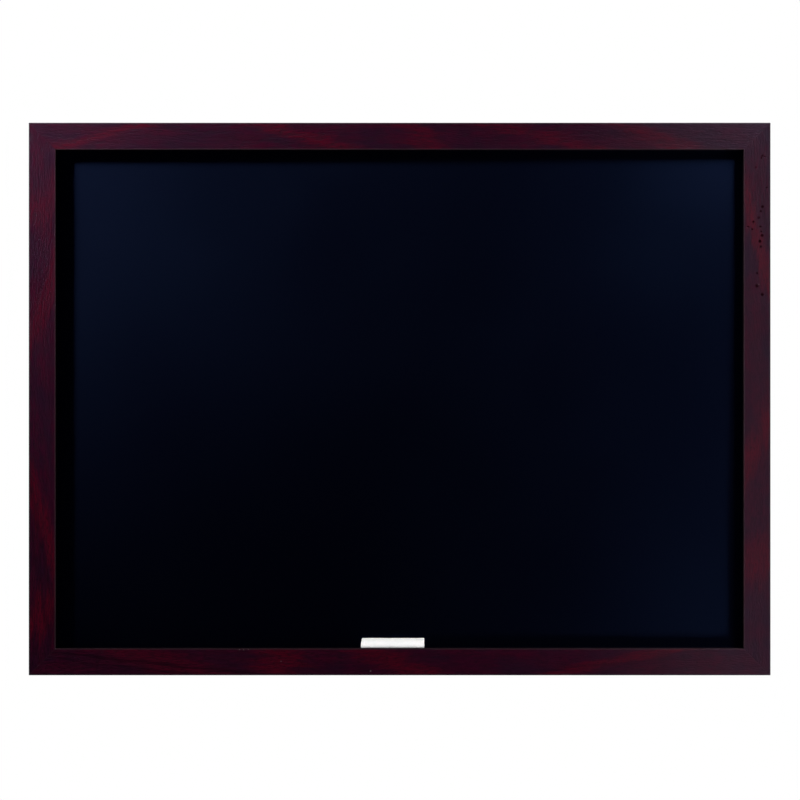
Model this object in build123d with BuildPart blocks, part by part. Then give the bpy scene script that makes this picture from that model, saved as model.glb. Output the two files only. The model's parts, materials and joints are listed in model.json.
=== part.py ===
from build123d import *
from math import asin, atan2, cos, degrees, sin, sqrt
import os

# Wall chalkboard, 24 by 18 inches nominal: a mitred and rabbeted wooden frame round a recessed
# chalk-coated panel. It hangs on the wall by two D rings, and a stick of chalk lies on its ledge.
# Lengths are in millimetres. The writing side faces -Y, +X is to the reader's right, +Z is up,
# and the origin is the centre of the wall plane, which the two rubber bumpers touch.

# Frame moulding: a flat face, and a rabbet behind it for the panel
board_width = 610.0
board_height = 454.4
face_width = 22.2
rail_depth = 19.0
rabbet_width = 6.4
rabbet_depth = 8.0
outer_round = 0.9
sight_round = 0.6
back_round = 0.4

# Writing panel and the backing behind it
panel_thickness = 3.0
panel_play = 0.8
panel_chamfer = 0.3
backing_thickness = 3.0
backing_play = 1.3

# Panel points: flat steel darts driven into the rabbet's wall, over the backing
points_per_rail = 4
points_per_stile = 3
point_width = 6.0
point_thickness = 0.6
point_bite = 5.0
point_reach = 9.0
point_nose = 3.0
point_nose_width = 1.6
point_tail_round = 2.0

# V nails: steel strip folded to a V with turned lips, pressed into the back of each mitre
v_nail_length = 10.0
v_nail_thickness = 0.5
v_nail_wing = 4.4
v_nail_lip = 0.9
v_nail_sink = 0.3
v_nail_place_shares = (0.45, 0.85)

# Room round a fastener in the wood that it displaces
fastener_room = 0.05

# Rubber bumpers on the back of the bottom rail
bumper_height = 5.0
bumper_base = 11.0
bumper_tip = 9.5
bumper_chamfer = 0.6
bumper_inset = 38.0

# Hanger straps: a strip folded in two round an eye
hanger_drop = 110.0
strap_width = 8.0
strap_thickness = 0.9
strap_length = 21.5
strap_tip_round = 3.4
strap_fold_gap = 0.1
strap_fold_radius = 1.6
strap_hole_edge = 4.3
strap_hole_play = 0.2

# D rings: bent wire that swings in the straps' eyes
ring_wire = 2.2
ring_wire_sides = 16
ring_seam = 0.2
ring_corner = 1.8
ring_leg = 4.7
ring_bar_room = 0.3
ring_rest_gap = 0.3
eye_play = 0.08

# Pan-head screws that hold the straps
screw_length = 12.7
screw_shank = 2.8
screw_tip = 3.5
screw_head = 5.4
screw_head_height = 1.8
screw_head_rim = 0.6
screw_dome_share = 0.76
cross_span = 3.2
cross_width = 0.8
cross_depth = 1.0

# Chalk stick: part used, worn to a slant at the top of its left end
chalk_length = 52.4
chalk_diameter = 8.4
chalk_left_of_centre = 5.7
chalk_chamfer = 0.4
chalk_wear = 1.1
chalk_wear_height = 4.6
chalk_set_back = 0.6
chalk_seat_gap = 0.3

# Overrun of every through cut
overrun = 1.0

# The three directions of the board
RIGHT = Vector(1, 0, 0)
UP = Vector(0, 0, 1)
FRONT = Vector(0, -1, 0)

# Planes parallel to the wall, each looking to the front
wall = Plane((0, 0, 0), x_dir=RIGHT, z_dir=FRONT)
frame_back = wall.offset(bumper_height)
panel_seat = frame_back.offset(rabbet_depth)
frame_face = frame_back.offset(rail_depth)

half_width = board_width / 2
half_height = board_height / 2
back_width = face_width - rabbet_width
opening_width = board_width - 2 * face_width
opening_height = board_height - 2 * face_width

# Each side of the frame: the way out from the board's centre, how far out it lies,
# half its own length, and how many panel points it holds
frame_sides = {
    "bottom_rail": (-UP, half_height, half_width, points_per_rail),
    "right_stile": (RIGHT, half_width, half_height, points_per_stile),
    "top_rail": (UP, half_height, half_width, points_per_rail),
    "left_stile": (-RIGHT, half_width, half_height, points_per_stile),
}


# V nails

def v_nails_in_the_mitres(room=0):
    """Every V nail, or with room given, the slots that they press for themselves."""
    back_mitre = back_width * sqrt(2)
    spread = v_nail_wing / sqrt(2)
    with BuildPart() as nails:
        for side in (-1, 1):
            for end in (-1, 1):
                corner = frame_back.origin + RIGHT * half_width * side + UP * half_height * end
                along_mitre = RIGHT * -side + UP * -end
                mouth = Plane(corner, x_dir=along_mitre, z_dir=FRONT)
                for share in v_nail_place_shares:
                    apex = share * back_mitre
                    with BuildSketch(mouth if room else mouth.offset(v_nail_sink)):
                        with BuildLine():
                            Polyline(
                                (apex - spread, spread + v_nail_lip),
                                (apex - spread, spread),
                                (apex, 0),
                                (apex - spread, -spread),
                                (apex - spread, -spread - v_nail_lip),
                            )
                        trace(line_width=v_nail_thickness)
                        if room:
                            offset(amount=room, kind=Kind.INTERSECTION)
                    extrude(amount=v_nail_length + (v_nail_sink + room if room else 0))
    return nails


v_nails = v_nails_in_the_mitres()
v_nail_slots = v_nails_in_the_mitres(room=fastener_room)


# Panel points

def panel_points_in_the_rabbet(room=0):
    """Every panel point, or with room given, the slots that they cut in the rabbet's wall."""
    lift = panel_thickness + backing_thickness + fastener_room
    with BuildPart() as points:
        for outward, reach, half_length, count in frame_sides.values():
            along = outward.cross(FRONT)
            pitch = 2 * (half_length - face_width) / count
            foot = panel_seat.origin + outward * (reach - back_width) - FRONT * (lift - room)
            for index in range(count):
                place = foot + along * pitch * (index - (count - 1) / 2)
                with BuildSketch(Plane(place, x_dir=-outward, z_dir=-FRONT)):
                    with BuildLine():
                        Polyline(
                            (-point_bite, -point_nose_width / 2),
                            (point_nose - point_bite, -point_width / 2),
                            (point_reach, -point_width / 2),
                            (point_reach, point_width / 2),
                            (point_nose - point_bite, point_width / 2),
                            (-point_bite, point_nose_width / 2),
                            close=True,
                        )
                    make_face()
                    fillet(vertices().group_by(Axis.X)[-1], point_tail_round)
                    if room:
                        offset(amount=room, kind=Kind.INTERSECTION)
                extrude(amount=point_thickness + 2 * room)
    return points


panel_points = panel_points_in_the_rabbet()
panel_point_slots = panel_points_in_the_rabbet(room=fastener_room)


# Hanger hardware

hanger_x = half_width - back_width / 2
hanger_z = half_height - hanger_drop
eye_radius = ring_wire / 2 + eye_play
eye_height = strap_thickness + eye_radius
strap_stack = 2 * strap_thickness + strap_fold_gap
screw_drop = strap_length - strap_hole_edge


def hanger_pivot(side):
    """The foot, on the stile's back, of the line that a ring swings about."""
    return frame_back.origin + RIGHT * hanger_x * side + UP * hanger_z


def hanger_strap(side):
    """A strip that starts at its tip, goes round the eye and comes back over itself."""
    wrap_radius = eye_radius + strap_thickness / 2
    upper = strap_stack - strap_thickness / 2
    fold_rise = upper + strap_fold_radius - eye_height
    fold_x = sqrt((wrap_radius + strap_fold_radius) ** 2 - fold_rise**2)
    lean = degrees(atan2(fold_rise, fold_x))
    side_view = Plane(hanger_pivot(side), x_dir=-UP, z_dir=RIGHT)
    screw_place = hanger_pivot(side) - UP * screw_drop
    with BuildPart() as strap:
        with BuildSketch(side_view):
            with BuildLine():
                Line((strap_length, strap_thickness / 2), (0, strap_thickness / 2))
                CenterArc((0, eye_height), wrap_radius, -90, lean - 270)
                CenterArc((fold_x, upper + strap_fold_radius), strap_fold_radius, 180 + lean, 90 - lean)
                Line((fold_x, upper), (strap_length, upper))
            trace(line_width=strap_thickness)
        extrude(amount=strap_width / 2, both=True)
        fillet(edges().filter_by(Axis.Y).group_by(Axis.Z)[0], strap_tip_round)
        with BuildSketch(Plane(screw_place, z_dir=-FRONT)):
            Circle(screw_shank / 2 + strap_hole_play)
        extrude(amount=strap_stack + overrun, mode=Mode.SUBTRACT)
    return strap


# The ring's bent wire, on its centre line, and the lean at which it rests on the strap
ring_half = strap_width / 2 + ring_bar_room + ring_corner
bar_half = ring_half - ring_corner
bow_centre = ring_corner + ring_leg
rest_reach = bow_centre + sqrt(ring_half**2 - (strap_width / 2) ** 2)
rest_rise = strap_stack + ring_rest_gap + ring_wire / 2 - eye_height
rest_lean = asin(rest_rise / rest_reach)


def hanger_ring(side):
    """A D of wire from seam to seam: half the bar in the eye, a leg, the half-round bow and back."""
    pivot = hanger_pivot(side) - FRONT * eye_height
    down_the_loop = -UP * cos(rest_lean) - FRONT * sin(rest_lean)
    loop_plane = Plane(pivot, x_dir=RIGHT, z_dir=RIGHT.cross(down_the_loop))
    with BuildPart() as ring:
        with BuildLine(loop_plane):
            start = Line((ring_seam / 2, 0), (bar_half, 0))
            CenterArc((bar_half, ring_corner), ring_corner, -90, 90)
            Line((ring_half, ring_corner), (ring_half, bow_centre))
            CenterArc((0, bow_centre), ring_half, 0, 180)
            Line((-ring_half, bow_centre), (-ring_half, ring_corner))
            CenterArc((-bar_half, ring_corner), ring_corner, 180, 90)
            Line((-bar_half, 0), (-ring_seam / 2, 0))
        with BuildSketch(Plane(start @ 0, z_dir=start % 0)):
            RegularPolygon(ring_wire / 2, ring_wire_sides)
        sweep()
    return ring


def screws_in_the_stiles(room=0):
    """Both hanger screws, or with room given, the holes that their shanks take up."""
    shank = screw_shank / 2 + room
    dome = screw_head_height - screw_head_rim
    with BuildPart() as screws:
        for side in (-1, 1):
            seat = hanger_pivot(side) - UP * screw_drop - FRONT * strap_stack
            with BuildSketch(Plane(seat, x_dir=RIGHT, z_dir=UP)):
                with BuildLine():
                    Line((0, 0), (0, -screw_length - room))
                    Polyline((0, -screw_length - room), (shank, screw_tip - screw_length), (shank, 0))
                    if room:
                        Line((shank, 0), (0, 0))
                    else:
                        Polyline((shank, 0), (screw_head / 2, 0), (screw_head / 2, screw_head_rim))
                        ThreePointArc(
                            (screw_head / 2, screw_head_rim),
                            (screw_head / 4, screw_head_rim + dome * screw_dome_share),
                            (0, screw_head_height),
                        )
                        Line((0, screw_head_height), (0, 0))
                make_face()
            revolve(axis=Axis(seat, -FRONT))
            if not room:
                with BuildSketch(Plane(seat - FRONT * screw_head_height, z_dir=FRONT)):
                    Rectangle(cross_span, cross_width)
                    Rectangle(cross_width, cross_span)
                extrude(amount=cross_depth, mode=Mode.SUBTRACT)
    return screws


left_hanger_strap = hanger_strap(-1)
right_hanger_strap = hanger_strap(1)
left_hanger_ring = hanger_ring(-1)
right_hanger_ring = hanger_ring(1)
hanger_screws = screws_in_the_stiles()
hanger_screw_holes = screws_in_the_stiles(room=fastener_room)


# Frame

def moulding(outward, reach, half_length, count):
    """One mitred length, drawn in section from its outer back edge: x runs in, y to the front."""
    section = Plane(
        frame_back.origin + outward * reach,
        x_dir=-outward,
        z_dir=(-outward).cross(FRONT),
    )
    with BuildPart() as length:
        with BuildSketch(section):
            with BuildLine():
                Polyline(
                    (0, 0),
                    (0, rail_depth),
                    (face_width, rail_depth),
                    (face_width, rabbet_depth),
                    (back_width, rabbet_depth),
                    (back_width, 0),
                    close=True,
                )
            make_face()
            fillet(vertices().sort_by_distance((0, rail_depth))[0], outer_round)
            fillet(vertices().sort_by_distance((face_width, rail_depth))[0], sight_round)
            fillet(vertices().sort_by_distance((0, 0))[0], back_round)
        extrude(amount=half_length, both=True)
        for end in (-1, 1):
            corner = section.origin + section.z_dir * half_length * end
            mitre = Plane(corner, z_dir=section.z_dir * end + section.x_dir)
            split(bisect_by=mitre, keep=Keep.BOTTOM)
        add(v_nail_slots.part, mode=Mode.SUBTRACT)
        add(panel_point_slots.part, mode=Mode.SUBTRACT)
        add(hanger_screw_holes.part, mode=Mode.SUBTRACT)
    return length


frame = {name: moulding(*place) for name, place in frame_sides.items()}


# Panel and backing

with BuildPart() as writing_panel:
    with BuildSketch(panel_seat):
        Rectangle(
            opening_width + 2 * (rabbet_width - panel_play),
            opening_height + 2 * (rabbet_width - panel_play),
        )
    extrude(amount=-panel_thickness)
    chamfer(edges().filter_by(GeomType.LINE), panel_chamfer)

with BuildPart() as backing_board:
    with BuildSketch(panel_seat.offset(-panel_thickness)):
        Rectangle(
            opening_width + 2 * (rabbet_width - backing_play),
            opening_height + 2 * (rabbet_width - backing_play),
        )
    extrude(amount=-backing_thickness)


# Bumpers

def bumper(side):
    """A tapered rubber pad from the rail's back to the wall."""
    across = RIGHT * (half_width - bumper_inset) * side
    down = UP * (back_width / 2 - half_height)
    with BuildPart() as pad:
        with BuildSketch(Plane(frame_back.origin + across + down, z_dir=-FRONT)):
            Circle(bumper_base / 2)
        with BuildSketch(Plane(wall.origin + across + down, z_dir=-FRONT)):
            Circle(bumper_tip / 2)
        loft()
        chamfer(edges().sort_by(Axis.Y)[-1], bumper_chamfer)
    return pad


left_bumper = bumper(-1)
right_bumper = bumper(1)


# Chalk

chalk_radius = chalk_diameter / 2
ledge = frame_face.origin - UP * opening_height / 2
chalk_middle = ledge - FRONT * (chalk_set_back + chalk_radius) + UP * (chalk_seat_gap + chalk_radius)
chalk_left_end = chalk_middle - RIGHT * (chalk_left_of_centre + chalk_length / 2)

with BuildPart() as chalk_stick:
    with BuildSketch(Plane(chalk_left_end, z_dir=RIGHT)):
        Circle(chalk_radius)
    extrude(amount=chalk_length)
    top_of_end = chalk_left_end + UP * chalk_radius
    wear_plane = Plane(
        top_of_end + RIGHT * chalk_wear,
        z_dir=UP * chalk_wear - RIGHT * chalk_wear_height,
    )
    split(bisect_by=wear_plane, keep=Keep.BOTTOM)
    chamfer(faces().filter_by(Axis.X).edges(), chalk_chamfer)


# Written pieces, one file each

pieces = frame | {
    "writing_panel": writing_panel,
    "backing_board": backing_board,
    "panel_points": panel_points,
    "v_nails": v_nails,
    "left_hanger_strap": left_hanger_strap,
    "right_hanger_strap": right_hanger_strap,
    "left_hanger_ring": left_hanger_ring,
    "right_hanger_ring": right_hanger_ring,
    "hanger_screws": hanger_screws,
    "left_bumper": left_bumper,
    "right_bumper": right_bumper,
    "chalk_stick": chalk_stick,
}

os.makedirs("parts", exist_ok=True)
for name, piece in pieces.items():
    piece.part.label = name
    export_step(piece.part, f"parts/{name}.step")
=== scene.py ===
# %% [markdown]
# # Dressing a framed chalkboard
#
# The board comes packed from CAD as separate solids: four mitred lengths of moulding, a coated
# panel, a backing board, and the small hardware that holds and hangs it. This lesson gives each of
# them a finish, remodels the few pieces whose charm is in their softness, and lights the result.
#
# Everything is in metres. The writing side faces -Y, +X is to the reader's right and +Z is up.

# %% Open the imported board
import json
import math

import bmesh
import bpy
from mathutils import Matrix, Vector, noise

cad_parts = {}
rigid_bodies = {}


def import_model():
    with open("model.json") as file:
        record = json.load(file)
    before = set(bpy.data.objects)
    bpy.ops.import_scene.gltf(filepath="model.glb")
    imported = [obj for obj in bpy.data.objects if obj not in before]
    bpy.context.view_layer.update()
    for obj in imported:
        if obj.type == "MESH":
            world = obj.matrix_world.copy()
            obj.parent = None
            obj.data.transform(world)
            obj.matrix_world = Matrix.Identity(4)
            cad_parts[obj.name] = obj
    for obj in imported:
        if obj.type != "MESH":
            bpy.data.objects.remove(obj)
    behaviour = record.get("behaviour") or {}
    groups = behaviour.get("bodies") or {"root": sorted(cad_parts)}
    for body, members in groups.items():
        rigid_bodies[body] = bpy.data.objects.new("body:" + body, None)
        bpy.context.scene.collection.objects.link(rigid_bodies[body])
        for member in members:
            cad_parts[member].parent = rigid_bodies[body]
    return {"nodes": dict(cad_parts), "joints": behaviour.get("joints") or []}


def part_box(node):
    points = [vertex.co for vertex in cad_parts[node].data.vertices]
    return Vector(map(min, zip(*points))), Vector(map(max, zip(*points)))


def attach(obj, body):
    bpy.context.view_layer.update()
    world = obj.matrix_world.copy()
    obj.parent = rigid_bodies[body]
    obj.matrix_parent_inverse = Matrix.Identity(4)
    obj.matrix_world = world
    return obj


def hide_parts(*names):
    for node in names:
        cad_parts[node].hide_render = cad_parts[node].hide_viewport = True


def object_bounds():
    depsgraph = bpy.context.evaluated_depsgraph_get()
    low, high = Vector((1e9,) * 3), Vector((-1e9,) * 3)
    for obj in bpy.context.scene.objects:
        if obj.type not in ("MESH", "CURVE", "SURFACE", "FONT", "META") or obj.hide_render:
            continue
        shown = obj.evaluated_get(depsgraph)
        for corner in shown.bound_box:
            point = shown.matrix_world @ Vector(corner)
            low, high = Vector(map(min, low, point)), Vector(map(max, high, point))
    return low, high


for leftover in list(bpy.data.objects):
    bpy.data.objects.remove(leftover)
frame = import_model()
cad_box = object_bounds()
nodes = frame["nodes"]
print("solids in the frame:", sorted(nodes))

# %% Measure it
MM = 0.001
lowest, highest = cad_box
half_width = highest.x
half_height = highest.z
frame_face = lowest.y
frame_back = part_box("top_rail")[1].y
stile_low, stile_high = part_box("left_stile")
face_width = stile_high.x - stile_low.x
board_middle = (lowest + highest) / 2
print(f"board {2 * half_width / MM:.0f} x {2 * half_height / MM:.1f} mm")
print(f"face of the moulding {face_width / MM:.1f} mm")

# %% [markdown]
# ## Camera
#
# The board is seen straight on from about four board widths away, which is why hardly any of the
# recess's walls shows. A camera could be nudged until the picture looks right, but one proportion
# sets it at once: the sensor is to the focal length as the picture's width, measured at the frame's
# face, is to the distance. So the distance is chosen, and the lens follows from it.

# %% Place the camera
camera_distance = 2.5
picture_width = 657.7 * MM
aim_right = 0.3 * MM
aim_down = 0.8 * MM
sensor_width = 36

lens = bpy.data.cameras.new("camera")
lens.sensor_width = sensor_width
lens.lens = sensor_width * camera_distance / picture_width
camera = bpy.data.objects.new("camera", lens)
camera.location = (aim_right, frame_face - camera_distance, -aim_down)
camera.rotation_euler = (math.radians(90), 0, 0)
bpy.context.scene.collection.objects.link(camera)
bpy.context.scene.camera = camera
print(f"lens {lens.lens:.1f} mm at {camera_distance} m")

# %% [markdown]
# ## Light
#
# The photograph's light is plain: a big even front light for the colour, and one soft box high on
# the left that rakes the board, throws the frame's shadow into the recess and puts a blue haze on
# the near corner of the panel. A weaker box high on the right and a faint one low on the right do
# the same there. Grids on these three narrow their beams, so the haze dies away towards the middle.
# The front light shows in no reflection, or the satin panel would mirror it. A sun or a bright
# world would be simpler, but neither gives that falloff. Three more boxes light the back and top.

# %% Hang the lamps
def soft_box(name, place, size, power, aim=board_middle, beam=180):
    """A square lamp that no picture shows: size in metres, power in watts, beam in degrees."""
    light = bpy.data.lights.new(name, "AREA")
    light.shape = "SQUARE"
    light.size = size
    light.energy = power
    light.spread = math.radians(beam)
    lamp = bpy.data.objects.new(name, light)
    lamp.location = place
    lamp.rotation_euler = (Vector(aim) - Vector(place)).to_track_quat("-Z", "Y").to_euler()
    lamp.visible_camera = False
    bpy.context.scene.collection.objects.link(lamp)
    return lamp


soft_box(
    "key_left", place=(-1.506, -0.786, 1.102), size=0.34, power=19.2,
    aim=(-0.80, 0, 0.644), beam=41,
)
soft_box(
    "key_right", place=(0.748, -0.600, 0.743), size=0.29, power=8.4,
    aim=(0.764, 0, 0.50), beam=101,
)
soft_box(
    "low_right", place=(1.159, -0.681, -0.900), size=0.33, power=2.3,
    aim=(0.679, 0, -0.389), beam=40,
)
front = soft_box("front", place=(0.0, -1.5, 0.0), size=2.6, power=33)
front.visible_glossy = False
front.data.cycles.use_multiple_importance_sampling = False
soft_box("back_left", place=(-1.3, 1.5, 1.1), size=0.8, power=8)
soft_box("back_right", place=(1.5, 1.3, 0.5), size=0.8, power=6)
soft_box("overhead", place=(0.0, 0.2, 1.9), size=0.9, power=4)

# %% [markdown]
# ## Node helpers
#
# A shader is a net of small steps, and writing one by hand is mostly adding nodes and joining
# sockets. These helpers keep each step on one line: `add_node` fills a node's inputs with numbers
# or with other nodes' outputs, and the others are its most used forms.

# %% Write the helpers for sums and colours
def add_node(tree, kind, inputs=(), **options):
    """Adds a node, sets its options, and fills or links its inputs."""
    node = tree.nodes.new(kind)
    for option, value in options.items():
        setattr(node, option, value)
    for socket, value in dict(inputs).items():
        if isinstance(value, bpy.types.NodeSocket):
            tree.links.new(value, node.inputs[socket])
        else:
            node.inputs[socket].default_value = value
    return node


def calc(tree, operation, first, second=0.0):
    """One sum of two values."""
    return add_node(tree, "ShaderNodeMath", {0: first, 1: second}, operation=operation).outputs[0]


def sway(tree, value, reach):
    """Makes a value from 0 to 1 swing both ways, by half its reach."""
    return calc(tree, "MULTIPLY", calc(tree, "SUBTRACT", value, 0.5), reach)


def fade(tree, value, start, stop, low=0.0, high=1.0):
    """Eases from low to high as value goes from start to stop."""
    ends = {0: value, 1: start, 2: stop, 3: low, 4: high}
    return add_node(tree, "ShaderNodeMapRange", ends, interpolation_type="SMOOTHSTEP").outputs[0]


def tint(tree, share, first, second, blend="MIX"):
    """Mixes two colours by a share."""
    inputs = {0: share, 6: first, 7: second}
    return add_node(tree, "ShaderNodeMix", inputs, data_type="RGBA", blend_type=blend).outputs[2]


def layer(tree, mask, share, under, over):
    """Lays a colour over another where a mask says so, at a share of its full strength."""
    return tint(tree, calc(tree, "MULTIPLY", mask, share), under, over)


print("helpers for sums and colours are ready")

# %% Write the helpers for patterns
def stretch(tree, vector, scale, shift=(0, 0, 0), turn=(0, 0, 0)):
    """Moves, turns and stretches a pattern's coordinates."""
    inputs = {"Vector": vector, "Location": shift, "Rotation": turn, "Scale": scale}
    return add_node(tree, "ShaderNodeMapping", inputs).outputs[0]


def cloud(tree, vector, scale=1.0, detail=2.0, roughness=0.5):
    """A fractal noise between 0 and 1."""
    inputs = {"Vector": vector, "Scale": scale, "Detail": detail, "Roughness": roughness}
    return add_node(tree, "ShaderNodeTexNoise", inputs).outputs[0]


def bump(tree, height, distance):
    """A normal that a height of so many metres tilts."""
    return add_node(tree, "ShaderNodeBump", {"Height": height, "Distance": distance}).outputs[0]


def object_place(tree):
    """Each point's place on the board, in metres."""
    return add_node(tree, "ShaderNodeTexCoord").outputs["Object"]


def split(tree, vector):
    """A vector's x, y and z."""
    return add_node(tree, "ShaderNodeSeparateXYZ", {0: vector}).outputs


print("helpers for patterns are ready")

# %% Write the helpers for materials
def finish(name, **sockets):
    """A new material: its node tree and its shader's inputs, with some set to constants."""
    made = bpy.data.materials.new(name)
    made.use_nodes = True
    shader = made.node_tree.nodes["Principled BSDF"].inputs
    for socket, value in sockets.items():
        shader[socket.replace("_", " ")].default_value = value
    return made, made.node_tree, shader


def dress(made, *names):
    """Gives one material to pieces, which keep nothing of what they wore before."""
    for name in names:
        piece = bpy.data.objects[name]
        piece.data.materials.clear()
        piece.data.materials.append(made)
    print(made.name, "on", ", ".join(names))


print("helpers for materials are ready")

# %% [markdown]
# ## Shared effects as node groups
#
# Some effects turn up in several finishes: wood grain in each length of the frame, a fine tooth on
# anything coated or pressed, hairline scratches on both steels. Copied nodes would drift apart, so
# each effect is built once as a node group with named inputs and outputs. A group hands back only
# masks and heights, and the material that uses it decides what they mean.

# %% Write the group maker
def node_group(name, inputs, outputs):
    """An empty group, with its input sockets to read from and its output sockets to fill."""
    group = bpy.data.node_groups.new(name, "ShaderNodeTree")
    for label, value in inputs.items():
        kind = "NodeSocketVector" if value is None else "NodeSocketFloat"
        socket = group.interface.new_socket(label, in_out="INPUT", socket_type=kind)
        if value is not None:
            socket.default_value = value
    for label in outputs:
        group.interface.new_socket(label, in_out="OUTPUT", socket_type="NodeSocketFloat")
    given = group.nodes.new("NodeGroupInput").outputs
    wanted = group.nodes.new("NodeGroupOutput").inputs
    return group, given, wanted


def use_group(tree, group, **inputs):
    """Places a group in a tree and returns its outputs."""
    return add_node(tree, "ShaderNodeGroup", inputs, node_tree=group).outputs


print("helpers for groups are ready")

# %% [markdown]
# ### Wood grain
#
# The moulding is ripped from a plain-sawn board, so growth rings cut its face at a slant. A picture
# of wood would repeat and need unwrapping, so noise draws the grain. One slow noise bends the
# coordinate across the grain, and rings, fibres and threads are read through that bend, broad rings
# first and then the fine ones, all drawn out eight to twenty times along the grain. The pores are
# short dashes that follow no bend. X runs along the grain, and a scale counts how often a noise
# changes in a metre along, through and across it.

# %% Build the wood grain group
slow_scale = (7, 8, 8)


def build_wood_grain():
    group, given, wanted = node_group(
        "wood grain",
        {"Vector": None, "Wander": 0.025},
        ["Rings", "Fibres", "Threads", "Pores"],
    )
    straight = given["Vector"]
    slow = cloud(group, stretch(group, straight, slow_scale), detail=1.0)
    along, through, across = split(group, straight)
    drift = sway(group, slow, given["Wander"])
    drifted = {0: along, 1: through, 2: calc(group, "ADD", across, drift)}
    bent = add_node(group, "ShaderNodeCombineXYZ", drifted).outputs[0]
    for label, vector, scale, rise, texture in [
        ("Rings", bent, (16, 60, 190), (0.34, 0.66), {"detail": 3.0, "roughness": 0.55}),
        ("Fibres", bent, (48, 600, 900), (0.34, 0.66), {"detail": 3.0, "roughness": 0.65}),
        ("Threads", bent, (110, 850, 850), (0.40, 0.60), {"detail": 2.0, "roughness": 0.6}),
        ("Pores", straight, (260, 1500, 1500), (0.55, 0.68), {"detail": 1.0}),
    ]:
        drawn = cloud(group, stretch(group, vector, scale), **texture)
        group.links.new(fade(group, drawn, *rise), wanted[label])
    return group


wood_grain = build_wood_grain()
print("group:", wood_grain.name, [s.name for s in wood_grain.interface.items_tree])

# %% [markdown]
# ### Where a point lies on the moulding
#
# The distance in from the outer edge is the smaller of the distances to the board's side and to its
# top or bottom, so one sum serves all four lengths, with no mask to paint. It gives the two
# arrises: the rounded outer edge, which gets a painted grey reflection, and the eased sight edge,
# which gets a painted highlight. Where the two distances are equal lies the mitre. The walls of the
# recess lie a face's width in and behind the face, and the back is known by its depth.

# %% Build the moulding group
outer_rise = (1.5 * MM, 0.3 * MM)
sight_rise = (face_width - 1.2 * MM, face_width - 0.6 * MM)
recess_wall = face_width - 0.15 * MM
recess_rise = (frame_face + 0.2 * MM, frame_face + 1.2 * MM)
mitre_rise = (0.55 * MM, 0.1 * MM)
back_rise = (frame_back - 0.6 * MM, frame_back - 0.05 * MM)


def build_moulding_places():
    group, given, wanted = node_group(
        "moulding places",
        {"Vector": None},
        ["Outer Edge", "Sight Edge", "Mitre", "Back", "Recess"],
    )
    x, y, z = split(group, given["Vector"])
    from_side = calc(group, "SUBTRACT", half_width, calc(group, "ABSOLUTE", x))
    from_end = calc(group, "SUBTRACT", half_height, calc(group, "ABSOLUTE", z))
    across = calc(group, "MINIMUM", from_side, from_end)
    off_mitre = calc(group, "ABSOLUTE", calc(group, "SUBTRACT", from_side, from_end))
    deep = fade(group, y, *recess_rise)
    wall = calc(group, "GREATER_THAN", across, recess_wall)
    group.links.new(fade(group, across, *outer_rise), wanted["Outer Edge"])
    group.links.new(fade(group, across, *sight_rise), wanted["Sight Edge"])
    group.links.new(fade(group, off_mitre, *mitre_rise), wanted["Mitre"])
    group.links.new(fade(group, y, *back_rise), wanted["Back"])
    group.links.new(calc(group, "MULTIPLY", deep, wall), wanted["Recess"])
    return group


moulding_places = build_moulding_places()
print("group:", moulding_places.name, [s.name for s in moulding_places.interface.items_tree])

# %% [markdown]
# ### Tooth, clouds and hairlines
#
# Tooth is the fine grain that chalk, rubber, plating and a coated panel share, here two noises of
# different size, and it also gives the lacquer its mottle. Clouds are slow changes of tone, as a
# rolled coat or a dusty thumb leaves. Hairlines are noises drawn out to long threads in two
# directions and cut to their peaks, which is quicker than modelling a scratch.

# %% Build the three small groups
coarse_pitch = 0.23
coarse_share = 0.6
hairline_stretch = (1, 30, 30)
hairline_angles = (0.4, 1.9)
hairline_rise = (0.64, 0.72)


def build_tooth():
    group, given, wanted = node_group("tooth", {"Vector": None, "Grain": 0.0005}, ["Height"])
    pitch = calc(group, "DIVIDE", 1.0, given["Grain"])
    wide_pitch = calc(group, "MULTIPLY", pitch, coarse_pitch)
    fine = cloud(group, given["Vector"], pitch, detail=2.0, roughness=0.6)
    coarse = cloud(group, given["Vector"], wide_pitch, detail=1.0)
    lifted = calc(group, "ADD", fine, calc(group, "MULTIPLY", coarse, coarse_share))
    group.links.new(lifted, wanted["Height"])
    return group


def build_clouds():
    group, given, wanted = node_group(
        "clouds", {"Vector": None, "Size": 0.1, "Soft": 0.25}, ["Mask"]
    )
    puffs = cloud(group, given["Vector"], calc(group, "DIVIDE", 1.0, given["Size"]), detail=3.0)
    start = calc(group, "SUBTRACT", 0.5, given["Soft"])
    stop = calc(group, "ADD", 0.5, given["Soft"])
    group.links.new(fade(group, puffs, start, stop), wanted["Mask"])
    return group


def build_hairlines():
    group, given, wanted = node_group("hairlines", {"Vector": None, "Length": 0.01}, ["Mask"])
    pitch = calc(group, "DIVIDE", 1.0, given["Length"])
    lines = []
    for angle in hairline_angles:
        drawn = stretch(group, given["Vector"], hairline_stretch, turn=(0.3, angle, 0.2))
        lines.append(fade(group, cloud(group, drawn, pitch, detail=1.0), *hairline_rise))
    group.links.new(calc(group, "MAXIMUM", *lines), wanted["Mask"])
    return group


tooth, clouds, hairlines = build_tooth(), build_clouds(), build_hairlines()
print("groups:", [g.name for g in bpy.data.node_groups])
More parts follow.
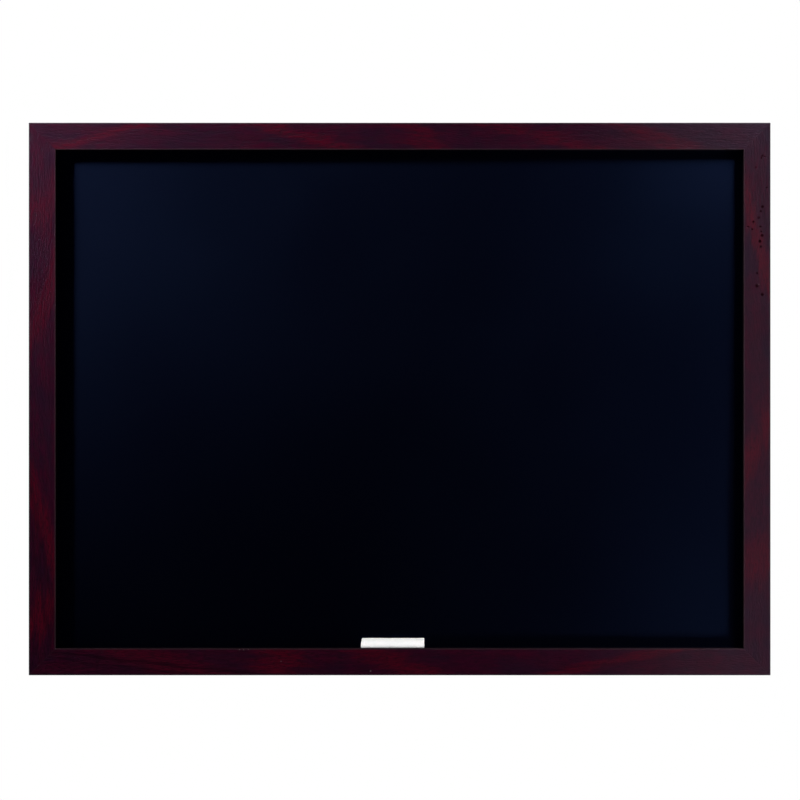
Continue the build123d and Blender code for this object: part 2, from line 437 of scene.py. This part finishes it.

# %% [markdown]
# ## Stained moulding
#
# A dark mahogany stain under a satin lacquer. Where the rings were cut across, the wood drinks more
# dye and turns wine red, in bands that lean across the face. Between them it is dense and a dusky
# purple, crossed at a shallow slant by a few dark lines of late wood. Noise alone would put the
# bands anywhere, so each is placed one by one, and the fibres fray its borders. A band or a line is
# four numbers: the place along the length where it meets the face's lower or left edge, the place
# where it meets the opposite edge, its reach, all in millimetres, and its strength.

# %% Name the stain's colours
dense_wood = (0.0165, 0.0007, 0.0064, 1)
slate_wood = (0.0105, 0.0016, 0.0076, 1)
soft_wood = (0.0390, 0.0004, 0.0046, 1)
thread_stain = (0.0048, 0.0003, 0.0026, 1)
pore_stain = (0.0030, 0.0003, 0.0015, 1)
# painted shade: dark maroon in the pin pits, where shade falls
pit_painted_shade = (0.0060, 0.0002, 0.0014, 1)
# painted reflection: the grey that the rounded outer edge shows
outer_edge_painted_reflection = (0.0120, 0.0095, 0.0125, 1)
# painted highlight on the eased sight edge, also used as a lighter tone along the mitre
edge_highlight_and_mitre_tone = (0.0220, 0.0120, 0.0150, 1)
# painted shade: near black for the walls of the recess, where the frame's shade falls
recess_painted_shade = (0.0016, 0.0002, 0.0006, 1)
# painted sheen: a thin grey added to the colour towards the right, for the lamps' haze on the
# lacquer
painted_sheen_grey = (0.0022, 0.0036, 0.0036, 1)
chalk_dust = (0.085, 0.060, 0.065, 1)
washed_back = (0.115, 0.040, 0.024, 1)
washed_fibre = (0.060, 0.018, 0.012, 1)
lacquer_tint = (0.80, 0.58, 0.95, 1)
print("dense wood", dense_wood[:3], "and soft wood", soft_wood[:3])

# %% Write the band maker and the spot maker
band_rim, band_core = 1.75, 0.15
spot_rim, spot_core = 1.05, 0.3


def leaning_bands(tree, along, across, stray, bands):
    """A mask of bands that lean across the face: full in the middle of each, 0 well away."""
    mask = 0.0
    for near_edge, far_edge, reach, strength in bands:
        lean = (far_edge - near_edge) / (face_width / MM)
        middle = (near_edge + far_edge) / 2 * MM
        slanted = calc(tree, "SUBTRACT", along, calc(tree, "MULTIPLY", across, lean))
        frayed = calc(tree, "ADD", calc(tree, "SUBTRACT", slanted, middle), stray)
        off = calc(tree, "ABSOLUTE", frayed)
        band = fade(tree, off, band_rim * reach * MM, band_core * reach * MM, 0.0, strength)
        mask = calc(tree, "MAXIMUM", band, mask)
    return mask


def round_spots(tree, place, spots):
    """A mask of small round spots, each a place right of and above the middle and a size, in mm."""
    facing = {0: place, 1: (1, 0, 1)}
    flat = add_node(tree, "ShaderNodeVectorMath", facing, operation="MULTIPLY").outputs[0]
    mask = 0.0
    for right, up, size in spots:
        ends = {0: flat, 1: (right * MM, 0, up * MM)}
        away = add_node(tree, "ShaderNodeVectorMath", ends, operation="DISTANCE").outputs["Value"]
        spot = fade(tree, away, spot_rim * size * MM, spot_core * size * MM)
        mask = calc(tree, "MAXIMUM", spot, mask)
    return mask


print("bands and spots can be placed")

# %% Draw the grain's figure
ring_stray = 16 * MM
fibre_stray = 8 * MM
ring_redness = 0.25
late_wood_share = 0.7


def grain_figure(tree, length, along, across, lengthwise, grain):
    """The stain on plain wood: a dusky ground, wine red bands and dark lines of late wood."""
    waves = sway(tree, grain["Rings"], ring_stray)
    tongues = sway(tree, grain["Fibres"], fibre_stray)
    stray = calc(tree, "ADD", waves, tongues)
    redness = leaning_bands(tree, along, across, stray, length["bands"])
    late_wood = leaning_bands(tree, along, across, stray, length["lines"])
    stray_red = calc(tree, "MULTIPLY", grain["Rings"], ring_redness)
    dye = calc(tree, "MAXIMUM", redness, stray_red)
    slate = use_group(tree, clouds, Vector=lengthwise, Size=22 * MM, Soft=0.14)["Mask"]
    ground = tint(tree, slate, dense_wood, slate_wood)
    streaks = tint(tree, dye, ground, soft_wood)
    return layer(tree, late_wood, late_wood_share, streaks, thread_stain)


print("the figure strays by up to", (ring_stray + fibre_stray) / 2 / MM, "mm")

# %% [markdown]
# ### Lacquer, edges and marks
#
# Over the figure come the threads, the pores, the two arrises and the mitre, each a colour laid on
# by its own mask. On the arrises these are painted light: a painted grey reflection on the rounded
# outer edge and a painted highlight on the eased sight edge, whose colour also gives the mitre a
# lighter tone. Towards the right a thin grey is added to the colour, a painted sheen for the lamps'
# haze on the lacquer. Pin pits in the right stile, darkened with painted shade, and flecks of chalk
# dust are placed one by one. The walls of the recess are painted almost black, as painted shade.
# The back is only washed with stain, so it is browner and duller.
#
# A satin lacquer is not even. Its roughness is combed by the threads and mottled by tooth, and the
# relief under it stays below a tenth of a millimetre, because the lacquer has filled the grain. The
# pits are smoother than what is round them, so the lamps' haze stays off them and they read dark.

# %% Write the lacquer
thread_sheen = (0.33, 0.43)
mottle_rise = (0.62, 0.98)
mottle_sheen = (-0.035, 0.045)
bare_dullness = 0.3
pit_smoothness = 0.6
mitre_depth = 0.8
relief_depth = 0.075 * MM


def lacquer_roughness(tree, place, grain, spot, pits):
    """Satin on the face, duller on the back and in the recess, smoother in the pits."""
    combed = fade(tree, grain["Threads"], 0, 1, *thread_sheen)
    mottle = use_group(tree, tooth, Vector=place, Grain=1.2 * MM)["Height"]
    sheen = calc(tree, "ADD", combed, fade(tree, mottle, *mottle_rise, *mottle_sheen))
    bare = calc(tree, "MAXIMUM", spot["Back"], spot["Recess"])
    dulled = calc(tree, "ADD", sheen, calc(tree, "MULTIPLY", bare, bare_dullness))
    outside_pits = calc(tree, "SUBTRACT", 1.0, calc(tree, "MULTIPLY", pits, pit_smoothness))
    return calc(tree, "MULTIPLY", dulled, outside_pits)


def wood_relief(tree, grain, spot, pits):
    """Threads, pores, mitre and pits, all sunk into the face."""
    combed = calc(tree, "MULTIPLY", grain["Threads"], -1.0)
    pored = calc(tree, "SUBTRACT", combed, grain["Pores"])
    grooved = calc(tree, "SUBTRACT", pored, calc(tree, "MULTIPLY", spot["Mitre"], mitre_depth))
    return bump(tree, calc(tree, "SUBTRACT", grooved, pits), relief_depth)


print("relief", relief_depth / MM, "mm deep")

# %% Mix the stained wood
thread_share, pore_share = 0.5, 0.8
sight_share, outer_share, mitre_share = 0.7, 0.8, 0.25
# where the painted sheen grows in, as x in metres
painted_sheen_rise = (0.13, 0.27)


def stained_wood(name, length):
    made, tree, shader = finish(
        "stained_wood_" + name, IOR=1.47, Specular_IOR_Level=0.34, Specular_Tint=lacquer_tint
    )
    place = object_place(tree)
    x, _, z = split(tree, place)
    low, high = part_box(name)
    middle = (low + high) / 2
    if length["upright"]:
        along, across, turn = z, calc(tree, "SUBTRACT", x, middle.x), (0, math.radians(90), 0)
    else:
        along, across, turn = x, calc(tree, "SUBTRACT", z, middle.z), (0, 0, 0)
    lengthwise = stretch(tree, place, (1, 1, 1), length["shift"], turn)
    grain = use_group(tree, wood_grain, Vector=lengthwise)
    spot = use_group(tree, moulding_places, Vector=place)
    pits = round_spots(tree, place, length["pits"])
    dust = round_spots(tree, place, length["dust"])
    face = grain_figure(tree, length, along, across, lengthwise, grain)
    for mask, share, colour in [
        (grain["Threads"], thread_share, thread_stain),
        (grain["Pores"], pore_share, pore_stain),
        # the sight edge gets a painted highlight, the outer edge a painted reflection, and the
        # mitre a lighter tone
        (spot["Sight Edge"], sight_share, edge_highlight_and_mitre_tone),
        (spot["Outer Edge"], outer_share, outer_edge_painted_reflection),
        (spot["Mitre"], mitre_share, edge_highlight_and_mitre_tone),
    ]:
        face = layer(tree, mask, share, face, colour)
    # painted sheen: grey added to the colour towards the right
    face = tint(tree, fade(tree, x, *painted_sheen_rise), face, painted_sheen_grey, "ADD")
    # painted shade in the pin pits
    face = tint(tree, pits, face, pit_painted_shade)
    face = tint(tree, dust, face, chalk_dust)
    # painted shade: the recess walls are turned near black
    face = tint(tree, spot["Recess"], face, recess_painted_shade)
    back = tint(tree, grain["Fibres"], washed_back, washed_fibre)
    tree.links.new(tint(tree, spot["Back"], face, back), shader["Base Color"])
    tree.links.new(lacquer_roughness(tree, place, grain, spot, pits), shader["Roughness"])
    tree.links.new(wood_relief(tree, grain, spot, pits), shader["Normal"])
    return made


# the painted sheen grows in over this span of x
print("the lacquer blooms from x =", painted_sheen_rise[0], "to", painted_sheen_rise[1])

# %% Say what each length shows
rails = {
    "top_rail": {
        "bands": [
            (-281, -211, 14, 0.9), (-51, -112, 18, 0.85), (23, 7, 14, 0.8), (159, 77, 20, 0.8),
            (241, 175, 16, 0.75),
        ],
        "lines": [(415, 13, 8, 0.7), (-60, -215, 9, 0.4)],
        "pits": [],
        "dust": [],
        "shift": (0.40, 0.10, 0.02),
        "upright": False,
    },
    "bottom_rail": {
        "bands": [
            (-165, -225, 32, 0.7), (-106, -92, 22, 0.95), (15, -26, 22, 0.95),
            (126, 225, 17, 0.95),
        ],
        "lines": [(-113, -308, 8, 1.0), (-165, -350, 7, 0.7), (70, 330, 9, 0.5)],
        "pits": [],
        "dust": [
            (-131.6, -206.0, 0.7), (-128.3, -206.2, 0.6), (-124.4, -205.8, 0.6),
            (-97.5, -215.7, 0.6), (-23.9, -223.7, 0.8),
        ],
        "shift": (2.17, 0.43, 0.31),
        "upright": False,
    },
}
stiles = {
    "left_stile": {
        "bands": [
            (154, 166, 16, 0.6), (51, 105, 20, 0.75), (-68, -134, 19, 1.0), (-180, -172, 16, 1.0),
        ],
        "lines": [(-60, -190, 9, 0.6), (-95, -225, 8, 0.6)],
        "pits": [],
        "dust": [],
        "shift": (3.60, 0.77, 0.55),
        "upright": True,
    },
    "right_stile": {
        "bands": [(171, 96, 19, 0.95), (-60, -15, 20, 0.9), (-138, -126, 17, 0.8)],
        "lines": [(250, 130, 7, 0.5)],
        "pits": [
            (298.3, 199.9, 1.2), (300.4, 199.2, 0.9), (297.3, 198.1, 1.0), (292.8, 190.3, 1.0),
            (301.8, 173.9, 0.9), (298.3, 158.1, 1.4), (296.9, 154.4, 1.1), (295.3, 149.0, 1.5),
            (290.8, 145.8, 1.3), (296.5, 141.7, 1.2), (286.4, 141.7, 1.0), (289.8, 139.6, 1.0),
            (297.2, 137.9, 1.1), (298.0, 134.6, 1.8), (296.2, 129.7, 1.8), (296.9, 125.3, 1.4),
            (293.8, 103.4, 1.2), (293.8, 93.1, 1.9), (298.1, 85.8, 1.8),
        ],
        "dust": [(295.2, 94.3, 0.7)],
        "shift": (5.05, 1.21, 0.83),
        "upright": True,
    },
}
lengths = {**rails, **stiles}
print({name: len(length["bands"]) for name, length in lengths.items()}, "bands")

# %% Stain the four lengths
for name, length in lengths.items():
    dress(stained_wood(name, length), name)

# %% [markdown]
# ## Chalk coating
#
# The writing surface is a blue-black paint with fine grit in it, sprayed on hardboard. It is nearly
# black face on and turns slate blue where a lamp rakes it. That blue could be painted on as a
# gradient, but it would stay put when the light moves, so it comes from a tinted sheen instead. The
# grit is a low bump, and clouds of roughness keep the sheen from being one clean patch.

# %% Mix the chalk coating
sheen_blue = (0.165, 0.32, 1.0, 1)
thin_coat = (0.0001, 0.0001, 0.0006, 1)
thick_coat = (0.0001, 0.0001, 0.0009, 1)
coat_rough = (0.38, 0.34)
grit_depth = 0.03 * MM

made, tree, shader = finish(
    "chalk_coating", IOR=1.5, Specular_IOR_Level=0.95, Specular_Tint=sheen_blue
)
place = object_place(tree)
rolled = use_group(tree, clouds, Vector=place, Size=0.16, Soft=0.25)["Mask"]
grit = use_group(tree, tooth, Vector=place, Grain=0.9 * MM)["Height"]
tree.links.new(tint(tree, rolled, thin_coat, thick_coat), shader["Base Color"])
tree.links.new(fade(tree, rolled, 0, 1, *coat_rough), shader["Roughness"])
tree.links.new(bump(tree, grit, grit_depth), shader["Normal"])
dress(made, "writing_panel")

# %% [markdown]
# ## Hardboard backing
#
# Hardboard is pressed from wood fibre on a wire screen, which leaves a grid of small pits on one
# face. Modelled pits would take millions of faces, so two sines multiplied make that grid as bump,
# and short drawn-out noises give the fibres. Patches have aged darker.

# %% Mix the hardboard
screen_pitch = 1.6 * MM
screen_share = 0.6
screen_depth = 0.12 * MM
pulp_rise = (0.16, 0.36)
dark_pulp = (0.140, 0.074, 0.036, 1)
light_pulp = (0.26, 0.150, 0.078, 1)
aged_pulp = (0.14, 0.078, 0.040, 1)
aged_share = 0.35
fibre_lies = [((260, 260, 900), (0, 0.6, 0)), ((900, 260, 260), (0, 0.2, 0))]

made, tree, shader = finish("hardboard", Roughness=0.85, IOR=1.45)
place = object_place(tree)
x, _, z = split(tree, place)
waves = [calc(tree, "SINE", calc(tree, "MULTIPLY", a, math.tau / screen_pitch)) for a in (x, z)]
screen = calc(tree, "MULTIPLY", *waves)
flecks = [
    cloud(tree, stretch(tree, place, scale, turn=turn), detail=3.0) for scale, turn in fibre_lies
]
pulp = calc(tree, "MULTIPLY", *flecks)
patches = use_group(tree, clouds, Vector=place, Size=0.07, Soft=0.3)["Mask"]
brown = tint(tree, fade(tree, pulp, *pulp_rise), dark_pulp, light_pulp)
tree.links.new(layer(tree, patches, aged_share, brown, aged_pulp), shader["Base Color"])
pressed = calc(tree, "ADD", calc(tree, "MULTIPLY", screen, screen_share), pulp)
tree.links.new(bump(tree, pressed, screen_depth), shader["Normal"])
dress(made, "backing_board")

# %% [markdown]
# ## Plated and blued steel
#
# The hangers, their screws and the panel points are bright zinc plate, the V nails blued strip. A
# single grey would look like plastic. Both are the same recipe in other colours: cloudy plating,
# hairlines from the tumbling barrel, and a little tooth. Metallic is a plain 1, and the colour is
# the metal's own reflectance.

# %% Mix the two steels
scratch_share = 0.5
tooth_share = 0.3
scratch_depth = 0.01 * MM


def plated_steel(name, bright, dull, smooth, rough):
    made, tree, shader = finish(name, Metallic=1.0)
    place = object_place(tree)
    cloudy = use_group(tree, clouds, Vector=place, Size=2.5 * MM, Soft=0.2)["Mask"]
    scratched = use_group(tree, hairlines, Vector=place, Length=4 * MM)["Mask"]
    grit = use_group(tree, tooth, Vector=place, Grain=0.15 * MM)["Height"]
    plating = tint(tree, cloudy, bright, dull)
    tree.links.new(layer(tree, scratched, scratch_share, plating, bright), shader["Base Color"])
    tree.links.new(fade(tree, cloudy, 0, 1, smooth, rough), shader["Roughness"])
    cut = calc(tree, "SUBTRACT", calc(tree, "MULTIPLY", grit, tooth_share), scratched)
    tree.links.new(bump(tree, cut, scratch_depth), shader["Normal"])
    return made


zinc = plated_steel(
    "zinc_plate", bright=(0.62, 0.63, 0.64, 1), dull=(0.43, 0.44, 0.46, 1), smooth=0.26, rough=0.42
)
blued = plated_steel(
    "blued_steel", bright=(0.20, 0.22, 0.27, 1), dull=(0.10, 0.11, 0.14, 1), smooth=0.32, rough=0.5
)
dress(zinc, "panel_points", "hanger_screws", "left_hanger_strap", "right_hanger_strap")
dress(blued, "v_nails")

# %% [markdown]
# ## D rings
#
# Each hanger ring is one length of wire, bent to a D whose two ends meet inside the strap's eye. A
# curve with a round bevel would draw it too, but following the bends as the wire is bent teaches
# more: a circle of edges is pushed along the straights and spun round the corners and the bow.

# %% Write the wire benders
def rim_edges(parts):
    """The edges among an operator's results that close a loop, without those that trail behind."""
    corners = {part for part in parts if isinstance(part, bmesh.types.BMVert)}
    edges = [part for part in parts if isinstance(part, bmesh.types.BMEdge)]
    return [edge for edge in edges if set(edge.verts) <= corners] if corners else edges


def push(mesh, rim, move):
    """Draws a loop of edges straight on, and returns the loop at the far end."""
    drawn = bmesh.ops.extrude_edge_only(mesh, edges=rim)["geom"]
    corners = [part for part in drawn if isinstance(part, bmesh.types.BMVert)]
    bmesh.ops.translate(mesh, verts=corners, vec=move)
    return rim_edges(drawn)


def swing_round(mesh, rim, centre, angle, steps):
    """Draws a loop of edges round a centre in the XY plane, and returns the loop at the far end."""
    corners = list({corner for edge in rim for corner in edge.verts})
    swept = bmesh.ops.spin(
        mesh, geom=corners + rim, cent=centre, axis=(0, 0, 1), angle=angle, steps=steps
    )
    return rim_edges(swept["geom_last"])


print("wire can be pushed straight and swung round")

# %% Write the piece maker
crease = math.radians(35)


def round_edges(mesh, edges, offset, steps):
    """Bevels edges to a round of so many steps."""
    bmesh.ops.bevel(
        mesh,
        geom=edges,
        offset=offset,
        affect="EDGES",
        segments=steps,
        profile=0.5,
        material=-1,
    )


def object_from(mesh, name):
    """Turns a bmesh into an object at the origin."""
    data = bpy.data.meshes.new(name)
    mesh.to_mesh(data)
    mesh.free()
    made = bpy.data.objects.new(name, data)
    bpy.context.scene.collection.objects.link(made)
    return made


def piece_from(mesh, name, body, material, replaced):
    """Makes a piece of a bmesh, lets it ride on its body, and hides the CAD node it stands for."""
    bmesh.ops.recalc_face_normals(mesh, faces=mesh.faces)
    for face in mesh.faces:
        face.smooth = True
    for edge in mesh.edges:
        edge.smooth = edge.calc_face_angle(0) < crease
    piece = object_from(mesh, name)
    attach(piece, body)
    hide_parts(replaced)
    dress(material, name)
    return piece


print("edges sharper than", round(math.degrees(crease)), "degrees stay crisp")

# %% Bend the rings
wire = 2.2 * MM
wire_sides = 24
wire_seam = 0.2 * MM
wire_end_round = 0.2 * MM
wire_end_steps = 2
corner_bend = 1.8 * MM
corner_steps = 8
leg = 4.7 * MM
bow = 6.1 * MM
bow_steps = 32
rest_lean = math.radians(6.3)
quarter_turn = math.radians(90)


def bent_ring(body, replaced):
    half_bar = bow - corner_bend
    ring = bmesh.new()
    on_end = Matrix.Translation((wire_seam / 2, 0, 0)) @ Matrix.Rotation(quarter_turn, 4, "Y")
    bmesh.ops.create_circle(ring, segments=wire_sides, radius=wire / 2, matrix=on_end)
    first_end = list(ring.edges)
    rim = push(ring, first_end, (half_bar - wire_seam / 2, 0, 0))
    rim = swing_round(ring, rim, (half_bar, corner_bend, 0), quarter_turn, corner_steps)
    rim = push(ring, rim, (0, leg, 0))
    rim = swing_round(ring, rim, (0, corner_bend + leg, 0), math.radians(180), bow_steps)
    rim = push(ring, rim, (0, -leg, 0))
    rim = swing_round(ring, rim, (-half_bar, corner_bend, 0), quarter_turn, corner_steps)
    last_end = push(ring, rim, (half_bar - wire_seam / 2, 0, 0))
    for end in (first_end, last_end):
        bmesh.ops.contextual_create(ring, geom=end)
    round_edges(ring, first_end + last_end, wire_end_round, wire_end_steps)
    pivot = next(joint["pos_m"] for joint in frame["joints"] if joint["child"] == body)
    lean = Matrix.Rotation(rest_lean - quarter_turn, 4, "X")
    bmesh.ops.transform(ring, verts=ring.verts, matrix=Matrix.Translation(pivot) @ lean)
    return piece_from(ring, body + "_wire", body, zinc, replaced)


for body, replaced in (("left_ring", "left_hanger_ring"), ("right_ring", "right_hanger_ring")):
    ring = bent_ring(body, replaced)
    print(ring.name, len(ring.data.vertices), "corners")

# %% [markdown]
# ## Bumpers
#
# A bumper is a moulded rubber pad, a little wider where it is glued to the rail. Its outline could
# be spun round an axis, but a cone with both ends closed is the same blank in one call, and
# bevelling the edge at its tip gives the moulded round. The rubber itself is dull and near black,
# paler where lint and wall dust have settled.

# %% Mix the rubber
clean_rubber = (0.020, 0.020, 0.021, 1)
linty_rubber = (0.055, 0.053, 0.05, 1)
lint_share = 0.5
skin_depth = 0.03 * MM

rubber, tree, shader = finish("rubber", Roughness=0.8)
place = object_place(tree)
lint = use_group(tree, clouds, Vector=place, Size=3 * MM, Soft=0.15)["Mask"]
skin = use_group(tree, tooth, Vector=place, Grain=0.25 * MM)["Height"]
dusty = layer(tree, lint, lint_share, clean_rubber, linty_rubber)
tree.links.new(dusty, shader["Base Color"])
tree.links.new(bump(tree, skin, skin_depth), shader["Normal"])
print("rubber is mixed")

# %% Mould the bumpers
pad_sides = 48
tip_share = 9.5 / 11.0
tip_round = 0.6 * MM
tip_steps = 4

for side in ("left", "right"):
    low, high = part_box(side + "_bumper")
    pad = bmesh.new()
    base_radius = (high.x - low.x) / 2
    bmesh.ops.create_cone(
        pad,
        cap_ends=True,
        segments=pad_sides,
        radius1=base_radius,
        radius2=base_radius * tip_share,
        depth=high.y - low.y,
    )
    tip = [edge for edge in pad.edges if all(corner.co.z > 0 for corner in edge.verts)]
    round_edges(pad, tip, tip_round, tip_steps)
    facing_wall = Matrix.Rotation(math.radians(-90), 4, "X")
    stand = Matrix.Translation((low + high) / 2) @ facing_wall
    bmesh.ops.transform(pad, verts=pad.verts, matrix=stand)
    piece_from(pad, side + "_bumper_pad", "board", rubber, side + "_bumper")

# %% [markdown]
# ## Chalk
#
# Stick chalk is pressed plaster: matt, almost white, blotchy where fingers have been and specked
# with its own dust. A plain white would look like plastic, so three patterns share the work: large
# clouds for the blotches, small ones for the specks, and tooth as a powdery bump.

# %% Press the chalk's material
clean_chalk = (0.92, 0.91, 0.91, 1)
handled_chalk = (0.875, 0.885, 0.88, 1)
speck_colour = (0.80, 0.775, 0.77, 1)
speck_share = 0.25
powder_depth = 0.06 * MM

white_chalk, tree, shader = finish(
    "white_chalk", Roughness=0.92, Diffuse_Roughness=1.0, IOR=1.4, Specular_IOR_Level=0.3
)
place = object_place(tree)
blotches = use_group(tree, clouds, Vector=place, Size=5 * MM, Soft=0.2)["Mask"]
specks = use_group(tree, clouds, Vector=place, Size=0.8 * MM, Soft=0.1)["Mask"]
powder = use_group(tree, tooth, Vector=place, Grain=0.22 * MM)["Height"]
blotched = tint(tree, blotches, clean_chalk, handled_chalk)
tree.links.new(layer(tree, specks, speck_share, blotched, speck_colour), shader["Base Color"])
tree.links.new(bump(tree, powder, powder_depth), shader["Normal"])
print("chalk is mixed")

# %% [markdown]
# ### The worn stick
#
# The stick is part used: the top of its left end is worn to a slant, use has rubbed it a little
# thinner and shorter than its solid, and its edges have crumbled round. A sculpting brush would
# shape it too, but a plane that cuts a cylinder keeps the slant exact. Both ends are bevelled
# before the long sides are divided, so the bevel meets clean edges.

# %% Cut the stick
rubbed_thin = 0.1 * MM
rubbed_end = 0.25 * MM
wear_back = 1.1 * MM
wear_down = 4.6 * MM
chalk_sides = 64
rim_round = 0.45 * MM
rim_steps = 4
rim_crease = math.radians(40)

low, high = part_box("chalk_stick")
chalk_radius = (high.z - low.z) / 2 - rubbed_thin
chalk_length = high.x - low.x - rubbed_end
chalk = bmesh.new()
bmesh.ops.create_cone(
    chalk,
    cap_ends=True,
    segments=chalk_sides,
    radius1=chalk_radius,
    radius2=chalk_radius,
    depth=chalk_length,
    matrix=Matrix.Rotation(math.radians(90), 4, "Y"),
)
bmesh.ops.bisect_plane(
    chalk,
    geom=chalk.verts[:] + chalk.edges[:] + chalk.faces[:],
    plane_co=(wear_back - chalk_length / 2, 0, chalk_radius),
    plane_no=(-wear_down, 0, wear_back),
    clear_outer=True,
)
bmesh.ops.holes_fill(chalk, edges=[edge for edge in chalk.edges if edge.is_boundary])
rims = [edge for edge in chalk.edges if edge.calc_face_angle(0) > rim_crease]
round_edges(chalk, rims, rim_round, rim_steps)
print(f"stick {chalk_length / MM:.1f} mm long, {2 * chalk_radius / MM:.1f} mm thick")

# %% [markdown]
# ### Its chips
#
# Small chips show along the lower edge. The long sides are divided into many rings, and corners
# near a chip are pulled in towards the axis. A slow noise on the rest takes the machine-made look
# off it. A chip is its place along the stick, its angle round it in degrees, its size and its
# depth. Last the stick settles on the ledge, which its solid clears by a hair.

# %% Chip it and lay it down
chips = [
    (-1.7 * MM, -124, 1.7 * MM, 1.3 * MM),
    (-19.9 * MM, -122, 1.4 * MM, 1.0 * MM),
    (14.0 * MM, -150, 0.8 * MM, 0.3 * MM),
]
side_cuts = 90
wobble_pitch = 3.0 * MM
wobble_height = 0.035 * MM
wobble_sink = 0.03 * MM
settled = 0.28 * MM + rubbed_thin

sides = [
    edge
    for edge in chalk.edges
    if abs(edge.verts[0].co.x - edge.verts[1].co.x) > chalk_length / 2
]
bmesh.ops.subdivide_edges(chalk, edges=sides, cuts=side_cuts, use_grid_fill=False)
for corner in chalk.verts:
    out = Vector((0, corner.co.y, corner.co.z))
    if out.length < chalk_radius / 2:
        continue
    wobble = noise.noise(corner.co / wobble_pitch) * wobble_height - wobble_sink
    for along, angle, size, depth in chips:
        turn = math.radians(angle)
        chip = Vector((along, chalk_radius * math.cos(turn), chalk_radius * math.sin(turn)))
        wobble -= depth * max(0.0, 1 - (corner.co - chip).length / size)
    corner.co += out.normalized() * wobble
chalk_middle = (low + high) / 2 - Vector((rubbed_end / 2, 0, 0))
bmesh.ops.translate(chalk, verts=chalk.verts, vec=chalk_middle - Vector((0, 0, settled)))
stick = piece_from(chalk, "chalk", "chalk", white_chalk, "chalk_stick")
print("chalk:", len(stick.data.polygons), "faces")

# %% [markdown]
# ## Floor
#
# The board hangs, so the floor lies well below it, as in a room. It is a plain pale one. A brighter
# lamp could make it white but would bleach the board, so it glows just enough for the camera to see
# it white, and it still keeps the board's shadow. Reflections see it as they see the world: white
# behind the board and dark in front of it.

# %% Lay the floor
floor_depth = 1.3
floor_half = 4.5
floor_white = (0.9, 0.9, 0.9, 1)
floor_glow = 0.85
behind_rise = (-0.3, 0.6)

floor_mesh = bmesh.new()
bmesh.ops.create_grid(floor_mesh, x_segments=1, y_segments=1, size=floor_half)
bmesh.ops.translate(floor_mesh, verts=floor_mesh.verts, vec=(0, 0, -floor_depth))
object_from(floor_mesh, "floor")


def rays(tree):
    """What kind of ray meets a surface, and 1 for those that shiny and clear things send."""
    kinds = add_node(tree, "ShaderNodeLightPath").outputs
    return kinds, calc(tree, "MAXIMUM", kinds["Is Glossy Ray"], kinds["Is Transmission Ray"])


made, tree, shader = finish("pale_floor", Roughness=0.9, Emission_Color=(1, 1, 1, 1))
ray, mirrored = rays(tree)
behind = fade(tree, split(tree, object_place(tree))[1], *behind_rise)
hidden = calc(tree, "MULTIPLY", mirrored, calc(tree, "SUBTRACT", 1.0, behind))
tree.links.new(tint(tree, hidden, floor_white, (0, 0, 0, 1)), shader["Base Color"])
seen = calc(tree, "MAXIMUM", ray["Is Camera Ray"], calc(tree, "MULTIPLY", mirrored, behind))
tree.links.new(calc(tree, "MULTIPLY", seen, floor_glow), shader["Emission Strength"])
dress(made, "floor")

# %% [markdown]
# ## World
#
# The picture shows only white behind the board. A plain white world would light it from all round
# and wash out its shadows, so the world differs by what looks at it. It is white to the camera and
# to reflections that look past the board, dark to reflections that look towards the camera's side
# of the studio, and a dim even grey to the soft light that fills shadows.

# %% Light the world
fill_level = 0.15
past_board_rise = (-0.25, 0.15)

world = bpy.data.worlds.new("studio")
bpy.context.scene.world = world
world.use_nodes = True
world.cycles.sampling_method = "NONE"
tree = world.node_tree
background = tree.nodes["Background"].inputs
ray, mirrored = rays(tree)
direction = add_node(tree, "ShaderNodeTexCoord").outputs["Generated"]
past_board = fade(tree, split(tree, direction)[1], *past_board_rise)
reflected = calc(tree, "MULTIPLY", mirrored, past_board)
fill = calc(tree, "MULTIPLY", calc(tree, "SUBTRACT", 1.0, mirrored), fill_level)
strength = calc(tree, "MAXIMUM", ray["Is Camera Ray"], calc(tree, "ADD", reflected, fill))
tree.links.new(strength, background["Strength"])
background["Color"].default_value = (1, 1, 1, 1)
bpy.context.scene.view_settings.view_transform = "Standard"
print("world and floor are in place")
